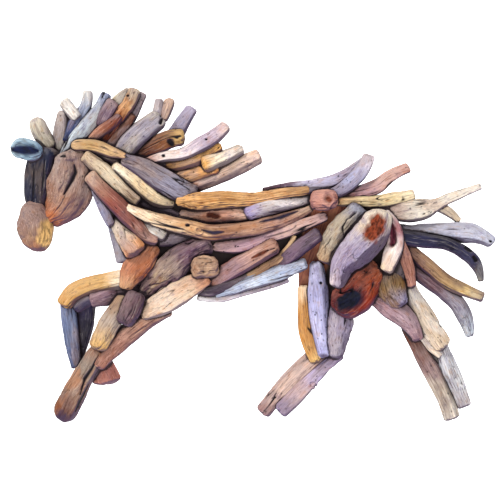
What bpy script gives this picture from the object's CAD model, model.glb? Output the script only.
import math
import bpy
import numpy as np
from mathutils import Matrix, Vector
from mathutils.bvhtree import BVHTree


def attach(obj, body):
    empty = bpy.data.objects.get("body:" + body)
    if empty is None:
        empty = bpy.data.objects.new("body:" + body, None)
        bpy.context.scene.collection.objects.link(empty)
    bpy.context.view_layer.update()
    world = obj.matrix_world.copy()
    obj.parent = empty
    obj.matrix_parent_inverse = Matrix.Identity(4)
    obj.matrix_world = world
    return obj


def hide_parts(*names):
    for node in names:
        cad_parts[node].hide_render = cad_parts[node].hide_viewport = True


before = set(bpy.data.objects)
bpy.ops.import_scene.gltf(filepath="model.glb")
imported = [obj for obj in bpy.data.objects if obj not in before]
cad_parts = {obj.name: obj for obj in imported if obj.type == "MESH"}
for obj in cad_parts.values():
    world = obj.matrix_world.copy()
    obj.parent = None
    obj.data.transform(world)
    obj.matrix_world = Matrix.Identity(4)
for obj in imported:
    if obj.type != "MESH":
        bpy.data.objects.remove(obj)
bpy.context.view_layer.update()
scene = bpy.context.scene
MM = 0.001

# Studio
# The horse hangs before a plain white backdrop, which stands far enough behind it that the horse can
# be seen from every side. The camera looks straight at the wall from far off, and a large soft light
# stands up and to the left.
VIEW_WIDTH = 1.0
VIEW_CENTRE = (0.020, -0.040)
CAMERA_DISTANCE = 4.0
RELIEF_MIDDLE = 0.04  # how far the middle of the relief is from the wall
SENSOR = 36.0
BACKDROP_BEHIND = 6.0
BACKDROP_SIZE = 60.0
FLOOR_BELOW = 0.75
FLOOR_SIZE = 12.0
BACKDROP_TONE = 0.92
BACKDROP_GLOW = 1.0
WORLD_LIGHT = 0.34
SQUARE = [(-1, -1), (1, -1), (1, 1), (-1, 1)]
WHITE = (1.0, 1.0, 1.0, 1.0)

camera = bpy.data.objects.new("camera", bpy.data.cameras.new("camera"))
scene.collection.objects.link(camera)
camera.location = (VIEW_CENTRE[0], -CAMERA_DISTANCE, VIEW_CENTRE[1])
camera.rotation_euler = (math.pi / 2, 0, 0)
camera.data.sensor_width = SENSOR
camera.data.lens = SENSOR * (CAMERA_DISTANCE - RELIEF_MIDDLE) / VIEW_WIDTH
scene.camera = camera
scene.view_settings.view_transform = "Standard"


def soft_light(name, place, size, power, colour):
    lamp = bpy.data.lights.new(name, "AREA")
    lamp.shape = "DISK"
    lamp.size = size
    lamp.energy = power
    lamp.color = colour
    light = bpy.data.objects.new(name, lamp)
    light.location = place
    light.rotation_euler = (-Vector(place)).to_track_quat("-Z", "Y").to_euler()
    scene.collection.objects.link(light)


soft_light("key_light", (-1.6, -1.9, 2.4), 0.7, 72, (1.0, 0.97, 0.92))
soft_light("fill_light", (2.2, -2.4, 0.2), 1.8, 9, (0.86, 0.9, 1.0))
soft_light("low_light", (0.2, -2.0, -2.0), 1.6, 3, (0.9, 0.86, 1.0))

world = bpy.data.worlds.new("studio")
scene.world = world
world.use_nodes = True
world.node_tree.nodes["Background"].inputs["Color"].default_value = WHITE
world.node_tree.nodes["Background"].inputs["Strength"].default_value = WORLD_LIGHT


def plain_plane(name, corners):
    mesh = bpy.data.meshes.new(name)
    mesh.from_pydata(corners, [], [(0, 1, 2, 3)])
    plane = bpy.data.objects.new(name, mesh)
    scene.collection.objects.link(plane)
    material = bpy.data.materials.new(name)
    material.use_nodes = True
    shader = material.node_tree.nodes["Principled BSDF"]
    shader.inputs["Base Color"].default_value = (BACKDROP_TONE, BACKDROP_TONE, BACKDROP_TONE, 1.0)
    shader.inputs["Roughness"].default_value = 1.0
    shader.inputs["Emission Color"].default_value = WHITE
    shader.inputs["Emission Strength"].default_value = BACKDROP_GLOW
    mesh.materials.append(material)


half = BACKDROP_SIZE / 2
floor_half = FLOOR_SIZE / 2
plain_plane("backdrop", [(half * i, BACKDROP_BEHIND, half * j) for i, j in SQUARE])
plain_plane("floor", [(floor_half * i, floor_half * j, -FLOOR_BELOW) for i, j in SQUARE])


# Backing board
# A flat board is cut to the horse's outline and stained red-brown, and every stick is fixed to it or
# to a stick that is. It shows bare between belly and haunch and at the back. Elsewhere on the front
# it is dark with glue and dirt.
BOARD_STRIP_MIDDLE = (0.155, 0.0, -0.03)
BOARD_STRIP_SQUARE = (0.929, 0.0, -0.369)  # level direction square to the strip
BOARD_STRIP_HALF = 0.04
BOARD_GRAIN_TURN = math.radians(-18)
BOARD_DIRT = (0.014, 0.008, 0.01, 1.0)
BOARD_DIRT_SHARE = 0.96


def colour_of(text):
    return tuple((int(text[i : i + 2], 16) / 255) ** 2.2 for i in (0, 2, 4)) + (1.0,)


def tree_node(tree, kind, settings=None, **inputs):
    """A shader node. An input i2 is the third one, and a socket as its value is linked to it."""
    node = tree.nodes.new(kind)
    for key, value in (settings or {}).items():
        setattr(node, key, value)
    for key, value in inputs.items():
        socket = node.inputs[int(key[1:])] if key[0] == "i" and key[1:].isdigit() else node.inputs[key]
        if isinstance(value, bpy.types.NodeSocket):
            tree.links.new(value, socket)
        else:
            socket.default_value = value
    return node


def math_node(tree, operation, first, second=0.0, third=0.0):
    node = tree_node(tree, "ShaderNodeMath", {"operation": operation}, i0=first, i1=second, i2=third)
    return node.outputs[0]


def mix_colour(tree, share, first, second, blend="MIX"):
    settings = {"data_type": "RGBA", "blend_type": blend}
    return tree_node(tree, "ShaderNodeMix", settings, i0=share, i6=first, i7=second).outputs[2]


def times(tree, colour, factors):
    return mix_colour(tree, 1.0, colour, factors + (1.0,), "MULTIPLY")


def ranged(tree, value, low, high, to_low=0.0, to_high=1.0):
    settings = {"interpolation_type": "SMOOTHSTEP"}
    ends = {"i1": low, "i2": high, "i3": to_low, "i4": to_high}
    return tree_node(tree, "ShaderNodeMapRange", settings, i0=value, **ends).outputs[0]


def stretched(tree, place, across, along):
    scale = (1 / across, 1 / across, 1 / along)
    return tree_node(tree, "ShaderNodeVectorMath", {"operation": "MULTIPLY"}, i0=place, i1=scale).outputs[0]


def wood_noise(tree, place, across, along, detail=3.0, roughness=0.55):
    vector = stretched(tree, place, across, along)
    settings = {"Vector": vector, "Scale": 1.0, "Detail": detail, "Roughness": roughness}
    return tree_node(tree, "ShaderNodeTexNoise", None, **settings).outputs["Fac"]


def board_material():
    material = bpy.data.materials.new("stained_board")
    material.use_nodes = True
    tree = material.node_tree
    shader = tree.nodes["Principled BSDF"]
    place = tree_node(tree, "ShaderNodeTexCoord").outputs["Object"]
    turn = (0, BOARD_GRAIN_TURN, 0)
    turned = tree_node(tree, "ShaderNodeMapping", None, Vector=place, Rotation=turn).outputs[0]
    streak = wood_noise(tree, turned, 0.004, 0.06, 4.0)
    mottle = wood_noise(tree, turned, 0.02, 0.02, 3.0)
    colour = mix_colour(tree, ranged(tree, streak, 0.35, 0.65), colour_of("6a3430"), colour_of("a8664c"))
    colour = mix_colour(tree, ranged(tree, mottle, 0.45, 0.7, 0.0, 0.6), colour, colour_of("b87858"))
    settings = {"operation": "SUBTRACT"}
    apart = tree_node(tree, "ShaderNodeVectorMath", settings, i0=place, i1=BOARD_STRIP_MIDDLE).outputs[0]
    settings = {"operation": "DOT_PRODUCT"}
    off = tree_node(tree, "ShaderNodeVectorMath", settings, i0=apart, i1=BOARD_STRIP_SQUARE)
    off = math_node(tree, "ABSOLUTE", off.outputs["Value"])
    dirt = ranged(tree, off, 0.8 * BOARD_STRIP_HALF, BOARD_STRIP_HALF, 0.0, BOARD_DIRT_SHARE)
    towards = tree_node(tree, "ShaderNodeNewGeometry").outputs["Normal"]
    towards = tree_node(tree, "ShaderNodeSeparateXYZ", None, i0=towards).outputs["Y"]
    dirt = math_node(tree, "MULTIPLY", dirt, ranged(tree, towards, 0.9, 0.2))
    colour = mix_colour(tree, dirt, colour, BOARD_DIRT)
    bump = tree_node(tree, "ShaderNodeBump", None, Distance=0.0006, Height=streak)
    tree.links.new(colour, shader.inputs["Base Color"])
    tree.links.new(bump.outputs["Normal"], shader.inputs["Normal"])
    shader.inputs["Roughness"].default_value = 0.7
    return material


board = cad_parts["backing_board"].data
board.materials.clear()
board.materials.append(board_material())

# Driftwood finish
# Beach wood is bleached on the side that lay to the sun, darker in its splits and on its flanks,
# streaked along the grain, and bored by small worms. Every stick shares this surface.
WARM = (0.86, 0.60, 0.42)
COOL = (0.40, 0.33, 0.52)
DARK_GRAIN = (0.22, 0.13, 0.13)
LIFT = (1.7, 1.6, 1.5)
PALE = (0.9, 0.82, 0.72, 1.0)
PALENESS = 0.22
FLANK_SHADE = (0.035, 0.018, 0.05, 1.0)
SOOT = (0.006, 0.004, 0.007, 1.0)
SAND_AND_DIRT = (0.02, 0.012, 0.018, 1.0)
STAIN_DULL = 0.4  # how bright a stain is where it is worn in, as a share of its colour
STAIN_DEEP = 0.2  # how bright it is in a hollow
BUMP_DEPTH = 0.0011


def read_value(tree, name, output="Fac"):
    return tree_node(tree, "ShaderNodeAttribute", {"attribute_name": name}).outputs[output]


def layered(tree, under, pattern, start, full, most, over):
    """A colour laid over another where a pattern goes from its start value to its full one."""
    return mix_colour(tree, ranged(tree, pattern, start, full, 0.0, most), under, over)


def driftwood_group():
    tree = bpy.data.node_groups.new("driftwood", "ShaderNodeTree")
    sockets = {
        "INPUT": {"Tone": "Color", "Patch": "Color", "Patchiness": "Float", "Streaks": "Float",
                  "Worm Holes": "Float"},
        "OUTPUT": {"Colour": "Color", "Roughness": "Float", "Height": "Float"},
    }
    for side, kinds in sockets.items():
        for name, kind in kinds.items():
            tree.interface.new_socket(name=name, in_out=side, socket_type="NodeSocket" + kind)
    given = tree.nodes.new("NodeGroupInput").outputs
    result = tree.nodes.new("NodeGroupOutput").inputs
    place = read_value(tree, "wood", "Vector")
    hollow = read_value(tree, "hollow")
    shelter = read_value(tree, "shelter")
    bleach = read_value(tree, "bleach")

    broad = wood_noise(tree, place, 0.03, 0.07, 2.0)
    streak = wood_noise(tree, place, 0.0032, 0.05, 4.0, 0.62)
    fine = wood_noise(tree, place, 0.0011, 0.022, 3.0, 0.6)
    mottle = wood_noise(tree, place, 0.009, 0.016, 4.0, 0.65)
    speck = wood_noise(tree, place, 0.0022, 0.003, 2.0, 0.6)

    patch_share = math_node(tree, "MULTIPLY", ranged(tree, broad, 0.46, 0.6), given["Patchiness"])
    colour = mix_colour(tree, patch_share, given["Tone"], given["Patch"])
    colour = layered(tree, colour, mottle, 0.5, 0.75, 0.7, times(tree, colour, WARM))
    colour = layered(tree, colour, mottle, 0.47, 0.28, 0.65, times(tree, colour, COOL))
    dark = times(tree, colour, DARK_GRAIN)
    streak_share = math_node(tree, "MULTIPLY", ranged(tree, streak, 0.52, 0.72), given["Streaks"])
    colour = mix_colour(tree, streak_share, colour, dark)
    pale = mix_colour(tree, PALENESS, times(tree, colour, LIFT), PALE)
    colour = layered(tree, colour, streak, 0.45, 0.3, 0.65, pale)
    colour = layered(tree, colour, fine, 0.5, 0.68, 0.62, dark)
    colour = layered(tree, colour, bleach, 0.5, 0.95, 0.34, pale)
    colour = layered(tree, colour, bleach, 0.5, 0.1, 0.85, FLANK_SHADE)

    cells = stretched(tree, place, 0.010, 0.014)
    holes = tree_node(tree, "ShaderNodeTexVoronoi", None, Vector=cells, Scale=1.0).outputs["Distance"]
    hole = math_node(tree, "MULTIPLY", ranged(tree, holes, 0.17, 0.09), given["Worm Holes"])
    hole = math_node(tree, "MULTIPLY", hole, ranged(tree, broad, 0.38, 0.5))
    colour = mix_colour(tree, hole, colour, SOOT)
    colour = layered(tree, colour, hollow, 0.1, 0.75, 1.0, SOOT)
    colour = layered(tree, colour, shelter, 0.05, 0.9, 0.93, SAND_AND_DIRT)
    rich = tree_node(tree, "ShaderNodeHueSaturation", None, Saturation=1.05, Value=1.02, Color=colour)
    tree.links.new(rich.outputs["Color"], result["Colour"])

    rough = ranged(tree, mottle, 0.3, 0.7, 0.62, 0.9)
    tree.links.new(rough, result["Roughness"])
    height = math_node(tree, "MULTIPLY", streak, 0.8)
    for share, pattern in ((0.5, fine), (0.25, speck), (-1.5, hole)):
        height = math_node(tree, "MULTIPLY_ADD", pattern, share, height)
    tree.links.new(height, result["Height"])
    return tree


driftwood = driftwood_group()


def driftwood_material(name, tones, patch, wear, stained):
    """The tones run along the stick from the first point of its line to the last."""
    material = bpy.data.materials.new(name)
    material.use_nodes = True
    tree = material.node_tree
    shader = tree.nodes["Principled BSDF"]
    place = read_value(tree, "wood", "Vector")
    wander = wood_noise(tree, place, 0.014, 0.03, 3.0)
    wander = math_node(tree, "MULTIPLY_ADD", wander, 0.36, -0.18)
    along = math_node(tree, "ADD", read_value(tree, "along"), wander)
    ramp = tree_node(tree, "ShaderNodeValToRGB", None, Fac=along)
    ramp.color_ramp.interpolation = "EASE"
    stops = ramp.color_ramp.elements
    colours = tones.split()
    if len(colours) == 1:
        colours = colours * 2
    while len(stops) < len(colours):
        stops.new(0.5)
    for i, text in enumerate(colours):
        stops[i].position = i / (len(colours) - 1)
        stops[i].color = colour_of(text)
    group = tree_node(tree, "ShaderNodeGroup", {"node_tree": driftwood})
    tree.links.new(ramp.outputs["Color"], group.inputs["Tone"])
    group.inputs["Patch"].default_value = colour_of(patch)
    for socket, value in zip(("Patchiness", "Streaks", "Worm Holes"), wear):
        group.inputs[socket].default_value = value
    bump = tree_node(tree, "ShaderNodeBump", None, Distance=BUMP_DEPTH, Strength=1.0)
    tree.links.new(group.outputs["Height"], bump.inputs["Height"])
    worn = wood_noise(tree, place, 0.004, 0.012, 3.0)
    bright = colour_of(stained)
    dull = tuple(STAIN_DULL * channel for channel in bright[:3]) + (1.0,)
    deep = tuple(STAIN_DEEP * channel for channel in bright[:3]) + (1.0,)
    stain_colour = mix_colour(tree, ranged(tree, worn, 0.4, 0.62), bright, dull)
    stain_colour = mix_colour(tree, ranged(tree, read_value(tree, "hollow"), 0.3, 0.7), stain_colour, deep)
    colour = mix_colour(tree, read_value(tree, "stain"), group.outputs["Colour"], stain_colour)
    tree.links.new(colour, shader.inputs["Base Color"])
    tree.links.new(group.outputs["Roughness"], shader.inputs["Roughness"])
    tree.links.new(bump.outputs["Normal"], shader.inputs["Normal"])
    shader.inputs["Specular IOR Level"].default_value = 0.25
    return material


# Driftwood sticks
# Each stick is a length of branch or root, worn round by the sea. It follows a bent line on the wall
# plane, drawn in millimetres, and stands as high off the wall as its solid does. It is glued to what
# is behind it.
SPACING = 1.6 * MM
LEAST_RINGS = 8
LEAST_SIDES = 22
SIDE_SHARE = 0.9  # a flattened stick is less far round than a round one
BACK_SPREAD = 0.4  # the side to the wall has fewer faces
CAP_RINGS = 6
LINE_STEPS = 60
PROBES = 30
FULLNESS = 1.04
OVERRUN = 0.24  # how far a stick runs past its line, as a share of its radius there
STICK = 0.8
PLANK = 0.5
BLOCK = 0.7
ROUNDED = 1.1
WORN = 0.55  # how far an end is rounded, as a share of the stick's radius there
CUT = 0.4
FACETS = 6
FACET_POWER = 9  # how sharply the flats meet
FACET_LENGTH = 60 * MM
GIRTH_BLUR = 9 * MM
LOOK_AHEAD = 6 * MM
FIT_BAND = 4 * MM  # how closely a solid must be as thick as the stick to count as the same wood
STOUT = 16 * MM  # the radius from which splits are full deep
GENTLE = 0.1  # the steepest that a small piece leans out from the wall
WALL_GAP = 0.3 * MM
RAGGED = 0.22  # how uneven an end is, and how far along that goes, as shares of the mean radius
RAGGED_REACH = 1.3
RAGGED_DETAIL = 2.1
NOT_BEHIND = -0.1  # marks stop where the surface turns to the wall
BACK_TONE = 0.42  # how bleached the side to the wall is
CUT_POWERS = {"hole": 0.5, "groove": 1.2, "dish": 0.7, "streak": 1.0}  # low has steep sides
# Across the grain and along it in millimetres, and which run of the noise.
PATTERNS = {
    "swell": (26, 44, 0), "lump": (11, 20, 1), "ridge": (5, 60, 2), "fine ridge": (2.6, 30, 3),
    "split": (15, 120, 4), "split reach": (24, 50, 5), "check": (8, 90, 6), "check reach": (18, 40, 7),
    "pit": (4.5, 7, 8), "mark edge": (7, 10, 9), "rot": (4, 5, 10), "rot pit": (3, 4, 11),
    "year ring": (20, 90, 12), "knob": (10, 13, 13), "small knob": (5, 6, 14), "crack": (17, 26, 15),
    "crack reach": (20, 24, 16),
}
# How far the wear stands out or goes in, in millimetres, where grain, gnarl or ribs is 1.
RIDGE_HEIGHT = 0.6
SPLIT_DEPTH = 3.0
CHECK_DEPTH = 1.2
PIT_DEPTH = 1.2
KNOB_HEIGHT = 1.9
CRACK_DEPTH = 2.0
RIB_DEPTH = 1.6
RIB_SPACING = 4.2
# The sun lay on the wood from the front, from above and a little from the left.
SUN_ANYWHERE = 0.22
SUN_FRONT = 0.45
SUN_ABOVE = 0.5
SUN_LEFT = 0.16
NOISE_SHIFT = np.array([0.31, 0.17, 0.23])
HASH = (374761393, 668265263, 1274126177, 974634777)
SCRAMBLE = ((13, 1103515245), (16, 2246822519))
BITS = 0xFFFFFFFF
all_sticks = []
seeds = iter(range(3, 4000, 17))


def value_noise(points, seed):
    """Smooth noise from -1 to 1 with one value for each whole-number corner of space."""
    cell = np.floor(points).astype(np.int64)
    part = points - cell
    part = part * part * (3 - 2 * part)
    total = np.zeros(len(points))
    for corner in np.ndindex(2, 2, 2):
        x, y, z = (cell + corner).T
        mixed = (x * HASH[0] + y * HASH[1] + z * HASH[2] + seed * HASH[3]) & BITS
        for shift, factor in SCRAMBLE:
            mixed = ((mixed ^ (mixed >> shift)) * factor) & BITS
        weight = np.prod(np.where(corner, part, 1 - part), axis=1)
        total += weight * (mixed / BITS)
    return total * 2 - 1


def grain_noise(wood, pattern, seed):
    across, along, run = PATTERNS[pattern]
    size = (across * MM, across * MM, along * MM)
    return value_noise(wood / size + 100.5, seed + run)


def veins(noise, width):
    """1 along the lines where a noise crosses zero, down to 0 beside them."""
    return np.clip(1 - np.abs(noise) / width, 0, 1)


def patches(noise, gain, offset):
    """1 where a noise is high, and 0 where it is low."""
    return np.clip(noise * gain + offset, 0, 1)


def unit(vectors):
    return vectors / np.linalg.norm(vectors, axis=1, keepdims=True)


def smooth_line(corners):
    """A smooth curve through the corners as many close points, with the distance run to each."""
    corners = np.array(corners, dtype=float) * MM
    gaps = np.linalg.norm(np.diff(corners, axis=0), axis=1)
    slopes = np.diff(corners, axis=0) / gaps[:, None]
    tangents = np.empty_like(corners)
    share = (gaps[:-1] / (gaps[:-1] + gaps[1:]))[:, None]
    tangents[1:-1] = slopes[:-1] * (1 - share) + slopes[1:] * share
    tangents[0] = 2 * slopes[0] - tangents[1]
    tangents[-1] = 2 * slopes[-1] - tangents[-2]
    u = np.linspace(0, 1, LINE_STEPS, endpoint=False)[:, None]
    pieces = []
    for i, gap in enumerate(gaps):
        turn = (1 - u) * (tangents[i] - slopes[i]) - u * (tangents[i + 1] - slopes[i])
        pieces.append(corners[i] + u * gap * slopes[i] + u * (1 - u) * gap * turn)
    points = np.concatenate([*pieces, corners[-1:]])
    return points, np.concatenate([[0], np.cumsum(np.linalg.norm(np.diff(points, axis=0), axis=1))])


def along_line(line, run, distances):
    """The points of the wall plane at these distances along a line."""
    return np.stack([np.interp(distances, run, line[:, 0]), np.interp(distances, run, line[:, 1])], axis=1)


def distance_to_line(points, line):
    """How far points of the wall plane are from a bent line, and the share of it run at the nearest."""
    best = np.full(len(points), np.inf)
    share = np.zeros(len(points))
    for i, (a, b) in enumerate(zip(line[:-1], line[1:])):
        run = np.clip(((points - a) @ (b - a)) / ((b - a) @ (b - a)), 0, 1)
        far = np.linalg.norm(points - a - run[:, None] * (b - a), axis=1)
        share = np.where(far < best, (i + run) / (len(line) - 1), share)
        best = np.minimum(best, far)
    return best, share


def tree_of(nodes):
    corners = []
    for node in nodes:
        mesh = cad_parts[node].data
        mesh.calc_loop_triangles()
        corners += [[mesh.vertices[i].co.copy() for i in t.vertices] for t in mesh.loop_triangles]
    faces = [(3 * i, 3 * i + 1, 3 * i + 2) for i in range(len(corners))]
    return BVHTree.FromPolygons([corner for triangle in corners for corner in triangle], faces)


def height_over_wall(node, points, run, depths):
    """A straight line of heights along the stick, fitted where the node is as thick as the stick."""
    tree = tree_of([node])
    ahead = Vector((0, 1, 0))
    heights = []
    weights = []
    for (x, z), depth in zip(points, depths):
        front = tree.ray_cast(Vector((x, -1, z)), ahead)[0]
        back = tree.ray_cast(Vector((x, 1, z)), -ahead)[0]
        if front is None or back is None:
            heights.append(0)
            weights.append(0)
            continue
        heights.append(-(front.y + back.y) / 2)
        weights.append(math.exp(-(((back.y - front.y - 2 * depth) / FIT_BAND) ** 2)) + 1e-4)
    slope, start = np.polyfit(run, heights, 1, w=np.sqrt(weights))
    return start, slope


def resting_height(points, run, depths):
    """A small stick lies on whatever is behind it."""
    hits = [whole_part.ray_cast(Vector((x, -1, z)), Vector((0, 1, 0)))[0] for x, z in points]
    found = [i for i, hit in enumerate(hits) if hit is not None]
    slope, start = np.polyfit(run[found], [-hits[i].y for i in found], 1)
    slope = float(np.clip(slope, -GENTLE, GENTLE))
    start = np.mean([-hits[i].y for i in found]) - slope * run[-1] / 2
    return start + 0.5 * np.mean(depths), slope


def facet_radii(turns, runs, seed):
    """The radius by angle of a section worn to a few flats, which change slowly along the stick."""
    facets = np.arange(FACETS)
    turned = 2 * np.pi * (facets + 0.32 * np.sin(seed * (1.3 + facets))) / FACETS
    rows = [np.tile(runs / FACET_LENGTH, FACETS), np.repeat(facets * 7.3, len(runs))]
    places = np.stack([*rows, np.full(FACETS * len(runs), seed * 0.37)], axis=1)
    reaches = 0.98 + 0.09 * value_noise(places + 40.0, seed).reshape(FACETS, len(runs))
    facing = np.maximum(np.cos(turns[:, None] - turned[None, :]), 0)
    return (((facing[None, :, :] / reaches.T[:, None, :]) ** FACET_POWER).sum(axis=2)) ** (-1 / FACET_POWER)


def ring_places(low, high, reach_low, reach_high):
    """Where the rings are along the stick, with how full it is there. They crowd at the rounded ends."""
    caps = (np.arange(CAP_RINGS) + 0.5) / CAP_RINGS * np.pi / 2
    count = max(LEAST_RINGS, int((high - low) / SPACING))
    inner = np.linspace(low + reach_low, high - reach_high, count)
    rounded = (low + reach_low * (1 - np.cos(caps)), high - reach_high * (1 - np.cos(caps[::-1])))
    crown = np.concatenate([np.sin(caps) ** 0.8, np.ones(count), np.sin(caps[::-1]) ** 0.8])
    return np.concatenate([rounded[0], inner, rounded[1]]), crown


def worn_surface(wood, across, seed, mean, fade, grain, gnarl, ribs):
    """How far the sea has left each point standing out or worn in, and how hollow it is there."""
    noise = lambda pattern: grain_noise(wood, pattern, seed)
    lumps = noise("swell") * 0.08 + noise("lump") * 0.05
    ridges = noise("ridge") * 0.55 + noise("fine ridge") * 0.3
    split = veins(noise("split"), 0.085) * patches(noise("split reach"), 2.4, -0.3)
    check = veins(noise("check"), 0.12) * patches(noise("check reach"), 2.2, -0.1)
    pits = patches(noise("pit"), 3.2, -2.1)
    thickness = np.clip(mean / STOUT, 0.4, 1)
    wear = RIDGE_HEIGHT * ridges - SPLIT_DEPTH * thickness * split - CHECK_DEPTH * check - PIT_DEPTH * pits
    push = mean * lumps + grain * MM * wear
    hollow = np.clip(0.95 * split + 0.55 * check + 0.6 * pits, 0, 1) * min(grain, 1.0) * fade
    if gnarl:
        # Burl and root wood is knobbly, and cracks every way.
        knobs = noise("knob") + 0.6 * noise("small knob")
        crack = veins(noise("crack"), 0.09) * patches(noise("crack reach"), 2.5, 0.1)
        push = push + gnarl * MM * (KNOB_HEIGHT * knobs - CRACK_DEPTH * crack)
        hollow = np.maximum(hollow, 0.6 * gnarl * fade * np.clip(crack - 0.5 * knobs, 0, 1))
    if ribs:
        # Soft wood has worn away between the year rings, which leaves ribs along the grain.
        wander = noise("year ring") * 1.2
        trough = veins(np.sin(np.pi * (across / (RIB_SPACING * MM) + wander)), 0.55)
        push = push - ribs * MM * RIB_DEPTH * trough
        hollow = np.maximum(hollow, 0.5 * trough * fade)
    return push, hollow


def cut_marks(marks, points, outward, facing, wood, seed, hollow):
    """Move the points for the knots, holes, grooves and stains that are seen from a step away."""
    stain = np.zeros(len(points))
    damp = np.zeros(len(points))
    uneven = 1 + 0.3 * grain_noise(wood, "mark edge", seed)
    for kind, mark, reach, depth in marks:
        far, share = distance_to_line(points[:, [0, 2]], np.array(mark) * MM)
        width = reach * MM * uneven
        if kind in ("groove", "streak"):
            width = width * (0.3 + 0.7 * np.sin(np.pi * share))
        far = far / width
        near = np.clip(1 - far, 0, 1) * (facing > NOT_BEHIND)
        cut = near ** CUT_POWERS[kind] if kind in CUT_POWERS else 0 * near
        if kind == "knot":
            ridge = np.exp(-(((far - 0.75) / 0.2) ** 2)) * (facing > NOT_BEHIND)
            points += outward * ((ridge * 0.7 - near**0.5 * 0.3) * depth * MM)[:, None]
            ring_line = np.exp(-(((far - 0.45) / 0.16) ** 2)) + 0.7 * np.exp(-((far / 0.14) ** 2))
            hollow = np.maximum(hollow, 0.4 * ring_line * (near > 0))
        elif kind == "rot":
            stain = np.maximum(stain, np.clip(near * 2.5, 0, 1))
            cut = near**0.5 * (0.6 + 0.7 * grain_noise(wood, "rot", seed))
            hollow = np.maximum(hollow, 0.5 * np.clip(near * 2, 0, 1) * grain_noise(wood, "rot pit", seed))
        elif kind == "bowl":
            stain = np.maximum(stain, np.clip(near * 2, 0, 1))
            cut = np.sin(near * np.pi / 2)
            hollow = np.maximum(hollow, 0.28 * np.clip(near * 1.5, 0, 1))
        elif kind == "streak":
            stain = np.maximum(stain, np.clip(near * 1.5, 0, 1))
        elif kind == "shade":
            damp = np.maximum(damp, depth * np.clip(near * 1.6, 0, 1))
        else:
            hollow = np.maximum(hollow, 0.3 * near if kind == "dish" else cut)
        points[:, 1] += cut * depth * MM
    return stain, damp, hollow


def closed_skin(name, points, rows, count):
    """Rings of points joined to a skin, with one more point at the middle of each end."""
    poles = np.array([points[:count].mean(axis=0), points[-count:].mean(axis=0)])
    vertices = np.concatenate([points, poles])
    here = np.arange(rows - 1)[:, None] * count + np.arange(count)[None, :]
    beside = np.arange(rows - 1)[:, None] * count + (np.arange(count)[None, :] + 1) % count
    quads = np.stack([here, here + count, beside + count, beside], axis=2).reshape(-1, 4)
    after = (np.arange(count) + 1) % count
    top = (rows - 1) * count
    caps_low = [(rows * count, j, int(after[j])) for j in range(count)]
    caps_high = [(rows * count + 1, top + int(after[j]), top + j) for j in range(count)]
    mesh = bpy.data.meshes.new(name)
    mesh.from_pydata(vertices.tolist(), [], quads.tolist() + caps_low + caps_high)
    mesh.polygons.foreach_set("use_smooth", np.ones(len(mesh.polygons), dtype=bool))
    mesh.update()
    return mesh


def set_values(mesh, name, values):
    attribute = mesh.attributes.get(name) or mesh.attributes.new(name, "FLOAT", "POINT")
    attribute.data.foreach_set("value", values.astype(np.float32))


def normals_of(mesh):
    normals = np.empty(len(mesh.vertices) * 3)
    mesh.vertex_normals.foreach_get("vector", normals)
    return normals.reshape(-1, 3)


def wall_side(normals):
    """1 on the bare side that looks to the wall, and 0 on the front and the flanks."""
    return np.clip(2 * normals[:, 1], 0, 1)


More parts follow.
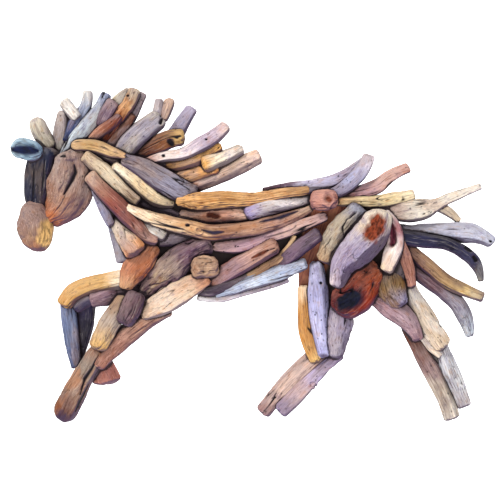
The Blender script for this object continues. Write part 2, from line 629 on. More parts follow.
def stick(name, wood_name, corners, girths, tones, node=None, flat=STICK, ends=(WORN, WORN), patch="8a7a80",
          wear=(0.5, 0.6, 0.6), grain=1.0, ribs=0.0, gnarl=0.0, roundness=0.0, stained="a8502c", marks=(),
          sunk=0.0, variant=0, extra=False):
    """One stick along the line through the corners, with girths spread evenly over its length.

    Its wear is how patchy and how streaked it is, and how many worm holes it has. A mark is its kind,
    the line it follows, its reach to each side and its depth. Lengths are in millimetres. An extra
    stick has no solid, and rests on what is behind it.
    """
    seed = next(seeds) + variant
    line, run = smooth_line(corners)
    radii = np.array(girths) * MM * FULLNESS / 2
    radius_at = lambda s: np.interp(s / run[-1], np.linspace(0, 1, len(radii)), radii)
    low, high = -OVERRUN * radii[0], run[-1] + OVERRUN * radii[-1]
    probes = np.linspace(0.06, 0.94, PROBES) * run[-1]
    depths = radius_at(probes) * flat
    probe_points = along_line(line, run, probes)
    if extra:
        start, slope = resting_height(probe_points, probes, depths)
    else:
        start, slope = height_over_wall(node or name, probe_points, probes, depths)
    start -= sunk * MM

    places, crown = ring_places(low, high, ends[0] * radii[0], ends[1] * radii[-1])
    rows = len(places)
    clipped = np.clip(places, 0, run[-1])
    nearby = np.clip(clipped[:, None] + np.array([-LOOK_AHEAD, LOOK_AHEAD]), 0, run[-1])
    ahead = unit(along_line(line, run, nearby[:, 1]) - along_line(line, run, nearby[:, 0]))
    on_wall = along_line(line, run, clipped) + (places - clipped)[:, None] * ahead
    middles = np.stack([on_wall[:, 0], -(start + slope * places), on_wall[:, 1]], axis=1)
    axis = unit(np.stack([ahead[:, 0], np.full(rows, -slope), ahead[:, 1]], axis=1))
    front = unit(np.array([0.0, -1.0, 0.0]) + axis[:, 1:2] * axis)
    side = np.cross(front, axis)

    radius = radius_at(clipped)
    kernel = np.exp(-0.5 * ((places[:, None] - places[None, :]) / GIRTH_BLUR) ** 2)
    radius = kernel @ radius / kernel.sum(axis=1)
    mean = radius.mean()
    count = max(LEAST_SIDES, int(2 * np.pi * mean * SIDE_SHARE / SPACING))
    even = np.arange(count) * 2 * np.pi / count
    turns = even - BACK_SPREAD * np.sin(even)
    shape = facet_radii(turns, places, seed) ** (1 - roundness) * crown[:, None]
    reach_front = shape * radius[:, None] * flat * np.cos(turns)
    reach_side = shape * radius[:, None] * np.sin(turns)
    outward = reach_front[:, :, None] * front[:, None, :] + reach_side[:, :, None] * side[:, None, :]
    reaches = np.linalg.norm(outward, axis=2).reshape(-1)
    outward = outward.reshape(-1, 3) / reaches[:, None]
    shift = NOISE_SHIFT * seed
    wood = np.stack([reach_side, reach_front, np.repeat(places[:, None], count, axis=1)], axis=2)
    wood = wood.reshape(-1, 3) + shift
    fade = np.clip(reaches / (0.5 * mean), 0, 1)
    push, hollow = worn_surface(wood, reach_side.reshape(-1), seed, mean, fade, grain, gnarl, ribs)
    points = np.repeat(middles, count, axis=0) + outward * (reaches + push * fade)[:, None]

    # The ends are uneven, as broken and then worn wood is.
    ring = [np.sin(turns) * RAGGED_DETAIL, np.cos(turns) * RAGGED_DETAIL, np.full(count, seed * 1.7)]
    ring = np.stack(ring, axis=1)
    uneven = value_noise(ring + 50, seed)
    near = np.clip(1 - np.stack([places - low, high - places]) / (RAGGED_REACH * mean), 0, 1) ** 2
    pull = RAGGED * mean * (near[1] - near[0])[:, None] * (uneven[None, :] * crown[:, None])
    points += np.repeat(axis, count, axis=0) * pull.reshape(-1, 1)
    facing = np.tile(np.cos(turns), rows)
    stain, damp, hollow = cut_marks(marks, points, outward, facing, wood, seed, hollow)
    # No stick goes back into the wall: where it would, its back is dressed flat.
    points[:, 1] = np.minimum(points[:, 1], -WALL_GAP)

    mesh = closed_skin(name + "_wood", points, rows, count)
    piece = bpy.data.objects.new(name + "_wood", mesh)
    scene.collection.objects.link(piece)
    tips = np.array([[0, 0, low], [0, 0, high]]) + shift
    attribute = mesh.attributes.new("wood", "FLOAT_VECTOR", "POINT")
    attribute.data.foreach_set("vector", np.concatenate([wood, tips]).astype(np.float32).ravel())
    set_values(mesh, "along", np.concatenate([np.repeat((places - low) / (high - low), count), [0, 1]]))
    set_values(mesh, "hollow", np.concatenate([hollow, [0.2, 0.2]]))
    set_values(mesh, "stain", np.concatenate([stain, [0, 0]]))
    normals = normals_of(mesh)
    sunny = SUN_ANYWHERE - SUN_FRONT * normals[:, 1] + SUN_ABOVE * normals[:, 2] - SUN_LEFT * normals[:, 0]
    sunny -= np.concatenate([damp, [0, 0]])
    sunny = np.maximum(sunny, BACK_TONE * wall_side(normals))
    set_values(mesh, "bleach", np.clip(sunny, 0, 1))
    mesh.materials.append(driftwood_material(name, tones, patch, wear, stained))
    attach(piece, "root")
    if not extra:
        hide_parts(node or name)
    all_sticks.append(piece)


whole_part = tree_of(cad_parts)

# Far foreleg
# The leg behind is bent back under the chest. Its forearm is a golden and a mauve stick, and its two
# dark cannon sticks stand on a wedge of a hoof. Each is fixed where it laps the next.
stick("far_cannon_navy_stick", "navy", [(-306, -138), (-309, -190), (-316, -224), (-325, -268)],
      [38, 34, 26, 16], "2c2644 1e1a30 1e1a2c", node="far_cannon_sticks", patch="181428", grain=1.5)
stick("far_cannon_blue_stick", "blue", [(-346, -138), (-339, -190), (-334, -230), (-327, -274)],
      [28, 30, 28, 15], "6c7698 5c6888 4a5070", node="far_cannon_sticks")
stick("far_hoof_wedge", "pink", [(-296, -238), (-274, -280), (-270, -303)], [28, 36, 56],
      "b0786c a87068 b0786c", ends=(WORN, CUT), patch="8a5048", wear=(0.4, 0.6, 0.3))
stick("far_forearm_mauve_stick", "mauve", [(-236, -121), (-264, -129), (-298, -140)], [22, 36, 22],
      "7a5c6c 8a6f7c 8a7078", node="far_forearm_sticks")
stick("far_forearm_golden_stick", "ochre",
      [(-232, -99), (-280, -107), (-314, -118), (-340, -134), (-352, -150)], [34, 29, 29, 32, 24],
      "f4ecdc cca46c c49c68 b88c58", node="far_forearm_sticks", patch="f0e0b8", grain=1.2)

# Far hind leg
# Four split lengths of grey, brown and cream wood lap down from the thigh to the hoof of the leg that
# is stretched out behind. Each is fixed where it laps the next.
stick("far_hind_hoof_stick", "grey", [(398, -218), (417, -274), (432, -310), (450, -352)],
      [22, 35, 37, 29], "dcdce0 c8c8d0 dcdce0 b8b0b4", ends=(WORN, CUT), patch="8a8490",
      wear=(0.5, 1.0, 0.3), grain=2.0, ribs=1.2)
stick("far_hind_cannon_stick", "brown", [(330, -178), (377, -266), (403, -316), (425, -376)],
      [22, 30, 30, 28], "381a18 5c3428 8c7474 a89c90 d4ccc0", ends=(WORN, CUT), patch="6a5450",
      wear=(0.5, 0.9, 0.3), grain=1.5)
stick("far_gaskin_outer_stick", "cream", [(330, -84), (351, -142), (376, -186), (408, -232)],
      [22, 27, 38, 27], "b89c78 dcd4cc dcd4cc d8c8b8", patch="b89c78")
stick("far_gaskin_inner_stick", "mauve", [(262, -130), (304, -156), (336, -184), (355, -218)],
      [28, 46, 40, 18], "8d7078 9c8088 a08890 8d7078", patch="6a4c50", wear=(0.6, 0.7, 0.6), grain=1.3)

# Near hind cannon
# Two pale sticks lie side by side and sweep forward under the belly. They are fixed to each other and
# to the ends of the stifle sticks.
stick("near_hind_cannon_front_stick", "pink", [(166, -244), (120, -286), (90, -316), (47, -366)],
      [34, 36, 33, 29], "b09080 c4aaa0 c4aaa0 8c6c6c", node="near_hind_cannon_sticks", grain=1.4)
stick("near_hind_cannon_back_stick", "lavender", [(202, -250), (156, -288), (126, -320), (82, -363)],
      [18, 26, 32, 30], "a090c0 b0a4c8 b49ca0 7d6f98", node="near_hind_cannon_sticks", ends=(WORN, CUT),
      grain=1.2, marks=[("knot", [(145, -308), (147, -308)], 9, 5)])

# Tail
# Bent sticks, some bleached and some dark, spread out from behind the buttock. They are held by their
# thick ends only.
stick("tail_stick_6", "bleached", [(298, 4), (370, 0), (420, -4), (470, -8), (505, -25)],
      [16, 22, 34, 45, 24], "b0a4ac b0b0c0 b4b6c8 c0c2d4", patch="a0a0b8", wear=(0.4, 0.5, 0.3),
      marks=[("hole", [(500, -22), (502, -23)], 3, 6)])
stick("tail_stick_9", "mauve",
      [(338, -72), (380, -102), (414, -128), (438, -150), (452, -176), (462, -212)],
      [26, 29, 28, 32, 32, 16], "6c4c50 6c545c 8a8490 b8c0cc", patch="55505f", wear=(0.5, 0.8, 0.4))
stick("tail_stick_8", "tan", [(334, -34), (380, -74), (416, -104), (450, -120), (485, -134)],
      [24, 29, 28, 27, 20], "805a48 8c6c54 987858 c8ac78 b8a890", patch="6c4c48", wear=(0.6, 0.7, 0.5))
stick("tail_stick_7", "navy", [(316, -14), (370, -22), (414, -28), (450, -46), (470, -64), (484, -102)],
      [28, 32, 26, 28, 27, 11], "1e1c34 26243e 1c1a30 3a3850 84807c", patch="2c2c48",
      wear=(0.5, 0.6, 0.3), marks=[("hole", [(450, -35), (461, -42)], 4, 5),
      ("hole", [(467, -54), (472, -60)], 5, 6)])
stick("tail_branch", "cream", [(392, 50), (420, 36), (440, 18)], [20, 20, 12], "ecdcc4 e0ccb0",
      node="tail_sticks_5")
stick("tail_beige_stick", "bleached", [(300, 38), (340, 38), (380, 45), (420, 64), (480, 87)],
      [26, 40, 46, 42, 24, 21, 20, 18, 13], "b09890 d8d0c4 d8d0c4 dcd4cc", node="tail_sticks_5",
      patch="b09080", variant=2)
stick("tail_stick_3", "rust", [(192, 64), (240, 76), (276, 86), (302, 106), (339, 124)],
      [14, 22, 30, 23, 19], "a86450 b08c94 c8a49c c09890", patch="8a5448", wear=(0.4, 0.7, 0.4))
stick("tail_stick_4", "cream", [(188, 58), (236, 56), (276, 56), (310, 62), (348, 71)],
      [16, 20, 27, 27, 21], "d8b888 ecd8ac ecd8ac f0e0c0", patch="a86048", wear=(0.3, 0.5, 0.5))
stick("tail_lavender_stick", "lavender",
      [(46, 80), (100, 88), (150, 92), (190, 100), (220, 116), (250, 142)], [10, 14, 21, 27, 23, 14],
      "3a1a20 5a4058 c0bcd4 b8b4d0 a8a0c0 b0b0c0", node="tail_sticks_1_and_2", wear=(0.5, 0.6, 1.0))
stick("tail_blue_stick", "blue", [(180, 68), (216, 88), (241, 112), (260, 148)], [20, 25, 29, 21],
      "8a84a4 a4a8cc d4c8d0", node="tail_sticks_1_and_2")

# Haunch, thigh and stifle
# Heavy bent burls stand out over the board. A red knot of heartwood makes the thigh, and three
# straight sticks run down from it. They are fixed to the board and to each other.
stick("stifle_front_stick", "tan", [(128, -114), (130, -160), (132, -200), (140, -232), (152, -262)],
      [20, 24, 27, 26, 20], "e8d0b0 b8844c c08c54 e0b878", patch="a06c3c", wear=(0.4, 0.8, 0.3))
stick("stifle_middle_stick", "lavender", [(153, -66), (156, -102), (157, -150), (162, -196), (171, -250)],
      [26, 38, 38, 36, 28], "b8b8d0 a8a8d0 c4c4e8 b0b0d8", patch="8a8ab8", wear=(0.4, 0.7, 0.8),
      marks=[("hole", [(161, -106), (163, -106)], 3, 5)])
stick("stifle_back_stick", "grey", [(201, -150), (199, -186), (194, -216), (190, -252)], [38, 49, 37, 22],
      "6a6074 8c8298 6a6074", patch="b0a8b4", wear=(0.5, 0.7, 0.4), grain=1.5, gnarl=0.7, variant=1)
stick("thigh_striped_stick", "mauve", [(304, -74), (306, -112), (322, -148)], [30, 58, 26],
      "8a7c80 846c50 8a84a0", patch="7d5a28", wear=(0.7, 1.0, 0.2), ribs=0.8)
stick("thigh_knot", "brick", [(274, -80), (244, -108), (220, -136), (194, -154)], [46, 66, 76, 54],
      "a86048 944630 883426 6a2820", flat=BLOCK, patch="5a1c14", wear=(0.7, 0.8, 0.8), grain=2.0,
      gnarl=0.5, stained="0a0e28", marks=[("bowl", [(208, -144), (226, -134)], 25, 5)])
stick("thigh_back_stick", "pink", [(322, -22), (330, -56), (338, -84), (344, -112)], [10, 24, 24, 16],
      "b48478 a87868 b48478", patch="8a5c50", wear=(0.5, 0.7, 0.4))
stick("buttock_stick", "bleached", [(288, 34), (306, 6), (312, -24), (302, -56), (292, -82)],
      [16, 28, 26, 30, 20], "ece4e0 9c6870 ece4e0 e0ccb0", patch="c0a0a0", wear=(0.4, 0.5, 0.5),
      stained="6a2c3c", marks=[("bowl", [(300, 4), (304, -10), (302, -28)], 8, 6)])
stick("haunch_front_burl", "grey", [(244, 38), (222, 10), (198, -20), (171, -62)], [44, 60, 56, 34],
      "8b8fa4 a89c8c a89c8c b89878", patch="5c5058", wear=(0.7, 0.7, 0.8), grain=1.8, gnarl=1.0,
      marks=[("hole", [(214, -14), (218, -12)], 6, 8),
      ("groove", [(214, 22), (204, 6), (206, -10)], 4, 4)])
stick("haunch_bent_stick", "cream", [(274, 36), (264, 0), (234, -36), (207, -64), (194, -112)],
      [44, 66, 64, 46, 28], "dcd0c0 ccbcac a8a0b4 9c90a8 d8c8c8", patch="7d7090", wear=(0.6, 0.6, 0.7),
      grain=1.2, gnarl=0.3, stained="8c4028", marks=[("rot", [(270, 14), (270, 4), (260, -8)], 20, 7),
      ("shade", [(292, -34), (250, -68), (216, -100)], 26, 0.6)])

# Mane and forelock
# Short thin sticks fan out from behind the neck and brow, from the withers up to the poll. They are
# fixed by their lower ends.
stick("mane_pink_stick", "pink", [(-104, 84), (-50, 109), (-10, 127), (38, 149)], [24, 27, 29, 24],
      "8c5a4c e6cabb e0c4b0 e6cabb", node="mane_sticks_8")
stick("mane_tan_stick", "tan", [(-140, 104), (-100, 111), (-72, 119), (-44, 121)], [24, 27, 28, 16],
      "b88858 d8a46c c89060", node="mane_sticks_8")
stick("mane_orange_stick", "ochre", [(-164, 128), (-110, 135), (-70, 150), (-40, 168)], [20, 28, 30, 18],
      "c89058 e0ac70 dca868", node="mane_sticks_7", gnarl=0.3)
stick("mane_cream_stick", "cream", [(-72, 130), (-34, 145), (3, 163)], [26, 27, 20],
      "dca868 ecdcc4 f2e6dc ece0d4", node="mane_sticks_7", wear=(0.2, 0.6, 0.6))
stick("mane_lavender_stick", "lavender", [(-134, 182), (-116, 210), (-95, 243)], [32, 26, 22],
      "6a6680 8a86a0 a098b0", node="mane_sticks_6")
stick("mane_root_stick", "rust", [(-216, 142), (-172, 166), (-140, 180), (-114, 181)], [26, 33, 36, 28],
      "5c4038 6c4434 7a5038 c8a46c", node="mane_sticks_6", patch="3a2218", gnarl=0.4,
      marks=[("hole", [(-140, 176), (-136, 172)], 7, 7)])
stick("mane_white_stick", "bleached",
      [(-192, 136), (-150, 147), (-116, 152), (-84, 168), (-56, 184), (-28, 208)],
      [14, 20, 22, 30, 31, 25], "c79a90 ddd0cc d8ccd0 a99bb0 d8bfb8", node="mane_sticks_7",
      patch="a99bb0", marks=[("hole", [(-154, 148), (-152, 148)], 3, 4),
      ("hole", [(-68, 180), (-66, 180)], 3, 4)])
stick("mane_stick_between", "grey", [(-240, 190), (-210, 248), (-196, 274)], [22, 26, 19],
      "8d8288 8a7f86 a09498")
stick("mane_sage_stick", "grey", [(-260, 224), (-240, 260), (-220, 278)], [20, 32, 20],
      "a8a494 b7b5a5 b0a898", node="mane_sticks_4")
stick("mane_red_stick", "rust", [(-288, 146), (-261, 204), (-238, 232), (-222, 254), (-211, 280)],
      [26, 34, 33, 25, 24], "b87860 82442f 7a3c28 9a6040 c89a70 f0e4cc", node="mane_sticks_4",
      patch="5a2418", wear=(0.5, 1.0, 0.6), grain=1.5, gnarl=0.5,
      marks=[("hole", [(-225, 268), (-223, 268)], 3, 4)])
stick("mane_short_pink_stick", "pink", [(-156, 222), (-147, 244), (-141, 263)], [20, 24, 22],
      "b09484 b89c8c", node="mane_sticks_5", ends=(WORN, ROUNDED))
stick("mane_broad_grey_stick", "grey", [(-248, 128), (-212, 184), (-184, 208), (-161, 225)],
      [32, 44, 46, 43], "8c8088 a39a98 a8a0a0 b4aca8", node="mane_sticks_5", patch="8a86a0",
      marks=[("hole", [(-157, 220), (-159, 214)], 4, 5)])
stick("forelock_base_stick", "blue", [(-306, 278), (-310, 250), (-328, 216), (-348, 176)],
      [18, 24, 34, 20], "d6d6d4 9aa2b8 4a5680 2c3458", node="forelock_sticks")
stick("forelock_white_stick", "bleached", [(-353, 258), (-341, 241), (-327, 223)], [22, 25, 19],
      "ccc8c4 dcd8d4 d0ccc8", node="forelock_sticks", wear=(0.2, 0.6, 0.2), sunk=-10, variant=1)
stick("forelock_grey_stick", "grey", [(-368, 140), (-360, 190), (-357, 224), (-357, 238)],
      [18, 27, 27, 14], "8c8480 a9a29c b8b0a8", node="forelock_sticks", ends=(WORN, ROUNDED))
stick("mane_stick_3", "blue",
      [(-362, 138), (-336, 175), (-312, 200), (-294, 224), (-278, 252), (-270, 274)],
      [8, 20, 34, 36, 28, 18], "c8ccd4 c6d2de b4b6ba 9aa4c4", patch="8a94b4", wear=(0.5, 0.7, 0.5))
stick("forelock_stub", "grey", [(-410, 222), (-402, 200), (-378, 164)], [32, 36, 28],
      "c9c2b4 b8b0a0 8c8478", node="forelock_sticks", ends=(ROUNDED, WORN))

# Head
# The brow and cheek are thick split lengths, the ear is a hollow burl and the muzzle a worn block.
# They are fixed to each other and to the end of the board behind the cheek.
stick("forehead_stick", "navy", [(-392, 160), (-400, 110), (-408, 60), (-402, 30)], [46, 50, 50, 40, 22],
      "2c3048 181a30 222438 1e1e2e", patch="7a6858", wear=(0.35, 0.9, 0.2), grain=1.6,
      marks=[("groove", [(-410, 130), (-414, 60)], 4, 4), ("groove", [(-388, 140), (-396, 70)], 3, 3)])
stick("cheek_stick", "tan", [(-334, 152), (-334, 104), (-350, 58), (-384, 24)], [48, 58, 74, 58, 32],
      "948480 98847c 9a7868 ae6844", patch="7a5040", wear=(0.35, 0.6, 0.6), grain=0.7, gnarl=0.3,
      marks=[("dish", [(-332, 134), (-328, 118), (-336, 98), (-348, 78)], 14, 8),
      ("groove", [(-328, 128), (-326, 114), (-334, 96), (-350, 70)], 7, 6),
      ("hole", [(-354, 146), (-346, 146)], 3, 4)])
stick("ear_burl", "blue", [(-452, 164), (-434, 162), (-414, 158), (-396, 153)], [28, 44, 42, 28],
      "a4bccc 90acc0 7088a0", flat=BLOCK, ends=(ROUNDED, ROUNDED), patch="0c1230", wear=(0.3, 0.4, 0.2),
      roundness=0.6, stained="101c40",
      marks=[("streak", [(-455, 159), (-436, 160), (-416, 158), (-400, 156)], 20, 11)], variant=1)
stick("muzzle_block", "tan", [(-430, 46), (-415, 24), (-409, -6), (-411, -38)], [34, 64, 76, 64, 32],
      "8a7470 8c746c a08068 a8704c", flat=BLOCK, ends=(ROUNDED, 0.8), patch="7a5850",
      wear=(0.35, 0.5, 0.4), roundness=0.75, stained="d0a468",
      marks=[("bowl", [(-384, 6), (-392, -20)], 18, 0)], sunk=16, variant=2)

# Neck and chest
# Longer split lengths are laid down the neck, and a flat piece of old board covers the chest. They
# are fixed to the board, one over another.
stick("chest_board", "rust", [(-174, -32), (-193, -60), (-214, -90), (-226, -116)], [32, 48, 44, 20],
      "cc9c80 b8846c a86c50 bc9070", flat=PLANK, ends=(CUT, WORN), patch="a05a38", wear=(0.6, 0.8, 0.2),
      grain=1.4, gnarl=0.5)
stick("throat_sliver", "blue", [(-262, 30), (-246, -16), (-236, -64)], [20, 25, 20], "6f6f86 8a8590",
      node="chest_wedge_sticks")
stick("chest_wedge", "bleached", [(-256, 36), (-240, 6), (-222, -20), (-206, -42)], [16, 28, 39, 42],
      "d8d0c8 c8b8a8 d09468", node="chest_wedge_sticks", ends=(WORN, CUT), grain=1.4)
stick("neck_beige_stick", "tan", [(-306, 148), (-274, 120), (-244, 88), (-208, 56)], [22, 35, 31, 27],
      "bba58c d8c8ae c0a890", patch="a08878", wear=(0.4, 0.6, 0.5))
stick("neck_cream_stick", "cream", [(-250, 128), (-220, 106), (-190, 80), (-164, 60), (-134, 54)],
      [20, 27, 31, 28, 18], "f0e6d0 ecd8b4 f0e2c4", patch="c8a070", wear=(0.3, 0.5, 0.4))
stick("neck_long_stick", "rust",
      [(-298, 108), (-270, 76), (-240, 46), (-210, 14), (-180, -16), (-166, -20)],
      [28, 29, 31, 33, 28, 20], "b89c8c 9c7868 844a44 784f4c 886860 b08c80", patch="8f5a4c",
      wear=(0.5, 0.7, 0.4))
stick("neck_plank", "grey", [(-232, 140), (-196, 124), (-154, 98), (-114, 78), (-88, 76)],
      [24, 38, 44, 47, 26], "6a6070 7a7078 8d8a9c 7a7078", flat=PLANK, patch="a08c84",
      wear=(0.5, 0.9, 0.4), grain=1.3, variant=2)
stick("neck_crest_stick", "tan", [(-332, 166), (-310, 168), (-280, 164), (-254, 154), (-228, 146)],
      [20, 26, 26, 24, 10], "ac8c6c b8986c c4a47c b89474", ends=(ROUNDED, WORN), patch="d8b890",
      wear=(0.4, 0.7, 0.3), variant=1)

# Belly and flank
# Shorter lengths slant up from the elbow and the belly line to the flank. They are fixed to the lower
# edge of the board.
stick("flank_dark_stick", "navy", [(64, -72), (96, -56), (126, -31), (158, -8)], [18, 30, 34, 27],
      "5a4658 6a5468 5a4458", patch="3a3048", wear=(0.5, 0.8, 0.3))
stick("flank_speckled_stick", "pink", [(-52, -34), (0, -32), (50, -16), (100, 0), (144, 16), (172, 28)],
      [16, 31, 29, 26, 26, 19], "c9a8a0 a08090 c9a8a0 b89898", patch="a08090", wear=(0.5, 0.6, 1.0),
      variant=3)
stick("belly_lavender_stick", "lavender", [(-84, -134), (-40, -137), (10, -124), (60, -111), (96, -100)],
      [17, 17, 17, 16, 12], "e8e4e8 c6bcc8 a89cb0", node="belly_sticks")
stick("belly_blue_stick", "blue", [(-48, -130), (-10, -118), (30, -104), (80, -88), (132, -68)],
      [14, 24, 27, 29, 19], "c4d0e0 ccd4e4 b0bcd4 d0d6e4", node="belly_sticks", patch="8a94b4", grain=1.3,
      ribs=0.5)
stick("elbow_stick", "mauve", [(-62, -112), (-30, -88), (10, -64), (44, -44), (72, -30)],
      [24, 36, 36, 36, 30], "b08a80 8c6f78 b08a80 a07868", patch="a8542c", wear=(0.4, 0.7, 0.6),
      stained="6a3424", marks=[("streak", [(24, -56), (40, -48), (56, -41)], 6, 3)])

# Near foreleg
# Gnarled root wood makes the shoulder, which is fixed to the board. Stouter lengths lap over each
# other from there down to the hoof.
stick("near_cannon_stick", "brown", [(-284, -240), (-306, -282), (-330, -322), (-356, -375)],
      [40, 44, 50, 50], "8a6858 84766c 8a7468 6a4c44 4a302a", ends=(WORN, ROUNDED), patch="a86c44",
      wear=(0.5, 0.9, 0.3), grain=2.2, gnarl=0.4,
      marks=[("groove", [(-280, -250), (-294, -276), (-308, -296), (-318, -328)], 5, 6),
      ("groove", [(-300, -306), (-318, -340), (-328, -362)], 4, 5),
      ("shade", [(-366, -352), (-352, -374)], 14, 0.3)])
stick("near_knee_stick", "mauve", [(-140, -162), (-188, -182), (-222, -206), (-252, -236), (-278, -272)],
      [20, 34, 40, 32, 16], "c09a84 b08878 a87c6c", patch="7a4c44", wear=(0.5, 0.8, 0.4))
stick("near_forearm_tan_stick", "tan", [(-228, -138), (-252, -176), (-267, -202), (-281, -233)],
      [30, 38, 39, 34], "a89078 a8988c d0a870", patch="8a6a54", wear=(0.7, 0.6, 0.9), gnarl=0.4)
stick("shoulder_stick", "brown", [(-62, -28), (-106, -50), (-142, -80), (-176, -110), (-206, -136)],
      [38, 54, 60, 48, 36], "7a6468 6a5060 8f7c74 a89078 8a7470", patch="5c4450", wear=(0.9, 0.8, 0.7),
      grain=2.2, gnarl=1.0)
stick("near_forearm_cream_stick", "bleached", [(-66, -98), (-110, -122), (-150, -146), (-194, -168)],
      [30, 43, 47, 28], "c98c6c d8c0a8 dcc8b8 d8c0a8", patch="c09078", wear=(0.4, 0.6, 0.5))
stick("near_forearm_stub", "mauve", [(-204, -128), (-215, -156), (-229, -184)], [34, 42, 27],
      "5f4a55 6a5058 5f4a55", patch="3c2c34", wear=(0.5, 0.8, 0.3), grain=1.4, gnarl=0.4)
stick("elbow_knob", "brown", [(-92, -76), (-70, -74), (-48, -72)], [38, 46, 34], "9c7c68 b09078 98786a",
      flat=BLOCK, patch="b89880", wear=(0.5, 0.4, 0.5), gnarl=0.9,
      marks=[("dish", [(-72, -74), (-68, -76)], 10, 6)])

# Barrel and back
# Long curved sticks are laid lengthwise over the others last, below a worn plank along the back. They
# are fixed to the board and to the sticks they cover.
stick("barrel_pink_stick", "pink", [(-120, 33), (-80, 31), (-40, 33), (18, 30)], [14, 28, 34, 20],
      "d9b5a2 c9937c d9b5a2", node="barrel_upper_sticks", stained="5a2c20",
      marks=[("bowl", [(-62, 30), (-46, 28)], 7, 4)])
stick("barrel_long_stick", "brown",
      [(-222, 46), (-190, 30), (-150, 16), (-104, 6), (-60, -4), (-10, 0), (40, 8), (90, 22), (146, 46)],
      [12, 24, 26, 27, 28, 28, 29, 24, 12], "f0e0c8 e8d0b0 d0a880 8a6450 b08870 bc9484 c4a894",
      patch="a87048", wear=(0.4, 0.8, 0.6), grain=1.2, stained="2c2438",
      marks=[("knot", [(-82, 0), (-80, 0)], 9, 3), ("streak", [(-76, 0), (-54, -6), (-32, -4)], 7, 1),
      ("hole", [(-106, 9), (-102, 9)], 3, 4), ("streak", [(40, 16), (80, 25), (116, 38)], 7, 1)])
stick("loin_stick", "bleached", [(14, 32), (50, 44), (90, 52), (140, 62)], [28, 34, 22, 12],
      "9a8eb8 cfc8ca d8d0d0 cfc8ca", node="barrel_upper_sticks")
stick("back_plank", "ochre", [(-126, 56), (-90, 58), (-40, 62), (10, 62), (44, 66), (90, 74), (138, 80)],
      [14, 34, 34, 29, 20, 20, 16], "dcaa74 d4a46c e0b280 b08860", flat=PLANK, patch="a06a3c",
      wear=(0.4, 1.0, 0.2), grain=0.6, ribs=1.0, variant=1)
stick("hip_knot", "pink", [(144, 58), (166, 58), (192, 60)], [28, 44, 24], "a87870 b8867a a87870",
      flat=BLOCK, patch="a86858", wear=(0.4, 0.5, 0.3), roundness=0.5, stained="8a4a38",
      marks=[("bowl", [(175, 62), (178, 60)], 7, 3), ("knot", [(176, 62), (177, 62)], 17, 5)])

# Small pieces in the gaps
# Splinters, chips and short dark ends are wedged in where the longer sticks leave a gap. They rest on
# what is behind them.
def filler(*given, **further):
    stick(*given, extra=True, **further)


filler("mane_red_root", "pink", [(-300, 179), (-276, 198), (-256, 212), (-240, 228)], [16, 22, 22, 14],
       "c89884 b07c68 7e4838 6a3830")
filler("muzzle_dark_filler", "navy", [(-404, 50), (-396, 36), (-384, 30)], [16, 20, 14], "2a2a3c 1e1e2c",
       sunk=36)
filler("thigh_gap_filler", "brown", [(272, -96), (280, -112), (286, -126)], [12, 16, 12], "3a2c30",
       sunk=18)
filler("crest_dark_filler", "brown", [(-314, 159), (-286, 153), (-262, 144), (-240, 134)],
       [10, 14, 16, 12], "4a3c3c", sunk=8)
filler("hip_dark_filler", "brown", [(128, 76), (152, 80), (184, 81)], [10, 14, 14], "4a4458", sunk=8)
filler("tail_root_filler", "mauve", [(278, 50), (292, 42), (306, 32)], [16, 20, 14], "8a7068 a08878",
       sunk=8)
filler("mane_purple_filler", "navy", [(-290, 196), (-272, 226), (-254, 256)], [20, 32, 28],
       "4d3d4a 6a5668 8a7278")
filler("mane_dark_filler", "brown", [(-262, 162), (-240, 190), (-214, 230)], [22, 24, 14],
       "5a3428 6a4438")
filler("throat_upper_splinter", "blue", [(-296, 92), (-284, 66), (-270, 34), (-258, 10)],
       [10, 16, 20, 16], "6f6f86 8a8aa4 7a7a90")
filler("neck_dark_filler", "navy", [(-206, 66), (-176, 48), (-144, 38), (-118, 28)], [16, 20, 16, 8],
       "3e3a50 5a5670 3e3a50")
filler("neck_splintered_end", "grey", [(-200, 14), (-176, 2), (-150, -12)], [16, 26, 20],
       "c8c4c0 e4e0d8 b0a8a0", grain=2.2, gnarl=0.6, sunk=-18)
filler("side_grey_filler", "mauve", [(-164, -22), (-126, -16), (-88, -16)], [24, 38, 26], "8f848c 7a6c78")
filler("side_tan_sliver", "tan", [(-20, -110), (14, -97), (46, -80), (76, -62), (100, -34), (110, -12)],
       [10, 14, 18, 18, 12, 8], "d8bc94 b08868 d0b088", patch="6a4c3c", wear=(0.5, 1.0, 0.6), grain=2.0)
filler("forearm_dark_filler", "mauve", [(-246, -126), (-224, -124), (-202, -118)], [22, 30, 22],
       "5c4450 6a4c58", sunk=12)
filler("thigh_dark_filler", "brown", [(306, -38), (316, -70), (318, -104)], [22, 30, 22], "1c1416 140e12",
       sunk=26)
filler("belly_dark_filler", "navy", [(-90, -116), (-66, -122), (-30, -112), (14, -94)], [14, 20, 20, 12],
       "241c2c 4a3e4a 7a6c70")
filler("leg_joint_filler", "mauve", [(-296, -140), (-312, -146), (-328, -160)], [18, 22, 16],
       "4a4458 2c2844", ends=(ROUNDED, ROUNDED))
filler("thigh_splinter", "cream", [(362, -214), (382, -234), (402, -252)], [8, 18, 12], "e8dccc")
filler("stifle_dark_filler", "navy", [(177, -126), (180, -146), (182, -166)], [14, 18, 12], "2a2030",
       sunk=20)
filler("hock_dark_filler", "brown", [(374, -242), (388, -256), (397, -268)], [12, 16, 12], "1c1416",
       sunk=6)
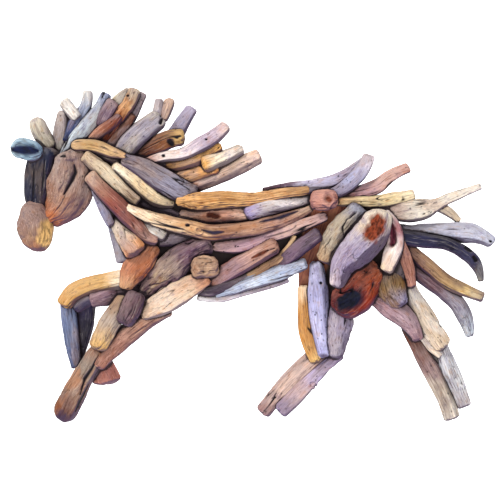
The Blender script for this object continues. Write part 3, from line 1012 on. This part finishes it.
filler("mane_grey_tip", "grey", [(-170, 222), (-165, 246), (-163, 262)], [26, 20, 17], "a8a0a8 b8b0b4",
       sunk=12)
filler("mane_gap_filler", "brown", [(-178, 134), (-164, 134), (-150, 130)], [10, 13, 10], "5a4038",
       sunk=8)
filler("forelock_dark_filler", "navy", [(-350, 206), (-345, 222), (-341, 232)], [12, 16, 12], "2c3458",
       sunk=14)

# Dirt between the sticks
# Sand, dirt and old glue sit where a stick is overtopped by its neighbours, on the front and the
# flanks. The side to the wall stays cleaner.
SHELTER_CELL = 2 * MM
SHELTER_MARGIN = 0.03
# Its share, how wide around it looks, and the least height over a point that counts, up to how much.
SHELTERS = [(1.0, 3.2 * MM, 1.0 * MM, 6 * MM), (0.5, 8 * MM, 2 * MM, 14 * MM)]
CLEAN_BACK = 0.75


def blurred(heights, reach):
    steps = int(3 * reach / SHELTER_CELL)
    weights = np.exp(-0.5 * (np.arange(-steps, steps + 1) * SHELTER_CELL / reach) ** 2)
    weights /= weights.sum()
    for turn in range(2):
        heights = np.apply_along_axis(lambda line: np.convolve(line, weights, "same"), turn, heights)
    return heights


def shelter_sticks():
    points = []
    for piece in all_sticks:
        own = np.empty(len(piece.data.vertices) * 3)
        piece.data.vertices.foreach_get("co", own)
        points.append(own.reshape(-1, 3))
    every = np.concatenate(points)
    low = every.min(axis=0) - SHELTER_MARGIN
    columns, rows = np.ceil((every.max(axis=0) + SHELTER_MARGIN - low)[[0, 2]] / SHELTER_CELL).astype(int)
    cells = ((every - low)[:, [0, 2]] / SHELTER_CELL).astype(int)
    heights = np.zeros((columns, rows))
    np.maximum.at(heights, (cells[:, 0], cells[:, 1]), -every[:, 1])
    shelter = np.zeros(len(every))
    for share, reach, least, span in SHELTERS:
        over = blurred(heights, reach)[cells[:, 0], cells[:, 1]] + every[:, 1]
        shelter += share * np.clip((over - least) / span, 0, 1)
    start = 0
    for piece, own in zip(all_sticks, points):
        found = np.clip(shelter[start : start + len(own)], 0, 1)
        set_values(piece.data, "shelter", found * (1 - CLEAN_BACK * wall_side(normals_of(piece.data))))
        start += len(own)


shelter_sticks()
